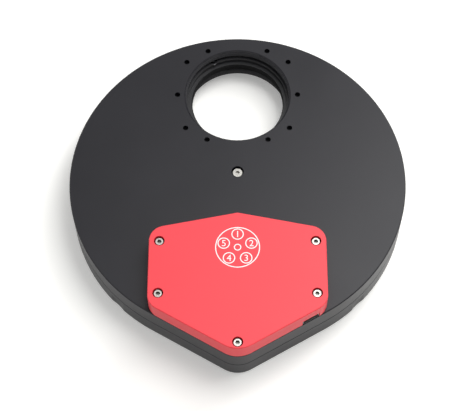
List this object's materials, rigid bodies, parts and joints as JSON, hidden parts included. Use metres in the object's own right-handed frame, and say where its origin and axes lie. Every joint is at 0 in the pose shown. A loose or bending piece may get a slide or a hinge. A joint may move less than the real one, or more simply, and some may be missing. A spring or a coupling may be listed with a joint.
{
  "type": "optical filter wheel",
  "caption": "Motorised filter wheel: flat disc housing with a pointed drive end, a threaded light port, a toothed filter carousel inside and a drive cover on top.",
  "frame": {"origin": "on the optical axis, in the plane of the back face, at the centre of the rear bolt circle", "axes": "+Z along the optical axis out of the front face, +Y from the drive end towards the port, X across the housing"},
  "size_m": [0.1682, 0.1792, 0.032],
  "materials": {
    "housing_anodised": "black anodised over a fine bead blast, satin",
    "carousel_anodised": "black anodised, matt",
    "cover_anodised": "red anodised, satin",
    "screw_steel": "stainless steel, turned",
    "bearing_steel": "ground bearing steel",
    "cage_brass": "turned",
    "gear_polymer": "natural acetal, moulded and cut",
    "gear_brass": "hobbed",
    "bush_bronze": "sintered bronze, oiled",
    "standoff_brass": "turned hexagon bar",
    "magnet_nickel": "nickel plated",
    "gearbox_plastic": "glass filled nylon, black",
    "motor_steel": "zinc plated sheet",
    "board_laminate": "green solder mask",
    "chip_plastic": "moulded epoxy, black",
    "connector_plastic": "moulded nylon, off white",
    "usb_steel": "nickel plated shell"
  },
  "bodies": {
    "housing": {"base_housing": "housing_anodised", "front_housing": "housing_anodised", "housing_screws": "screw_steel", "axle": "bearing_steel", "axle_screw": "screw_steel", "centre_screw": "screw_steel", "bearing_inner_race": "bearing_steel", "bearing_spacer": "bearing_steel", "shaft_bush": "bush_bronze", "gearbox": "gearbox_plastic", "motor_can": "motor_steel", "gearbox_screws": "screw_steel", "control_board": "board_laminate", "board_standoffs": "standoff_brass", "board_screws": "screw_steel", "controller_chip": "chip_plastic", "driver_chip": "chip_plastic", "motor_connector": "connector_plastic", "hall_sensor": "chip_plastic", "usb_socket": "usb_steel", "drive_cover": "cover_anodised", "drive_cover_screws": "screw_steel"},
    "carousel": {"carousel": "carousel_anodised", "gear_ring": "gear_polymer", "index_magnets": "magnet_nickel", "filter_screws": "screw_steel", "bearing_outer_race": "bearing_steel", "bearing_retainer": "carousel_anodised", "retainer_screws": "screw_steel"},
    "bearing_cage": {"bearing_cage": "cage_brass", "bearing_balls": "bearing_steel"},
    "pinion": {"drive_pinion": "gear_brass", "motor_shaft": "bearing_steel"}
  },
  "joints": [
    {"name": "carousel_spin", "type": "hinge", "parent": "housing", "child": "carousel", "pos_m": [0, -0.0454, 0.0131], "axis": [0, 0, 1], "continuous": true},
    {"name": "pinion_spin", "type": "hinge", "parent": "housing", "child": "pinion", "pos_m": [0, -0.123, 0.0121], "axis": [0, 0, 1], "continuous": true},
    {"name": "cage_spin", "type": "hinge", "parent": "housing", "child": "bearing_cage", "pos_m": [0, -0.0454, 0.0121], "axis": [0, 0, 1], "continuous": true}
  ],
  "couplings": [
    {"joint": "pinion_spin", "follows": "carousel_spin", "ratio": -18.4},
    {"joint": "cage_spin", "follows": "carousel_spin", "ratio": 0.61429}
  ]
}
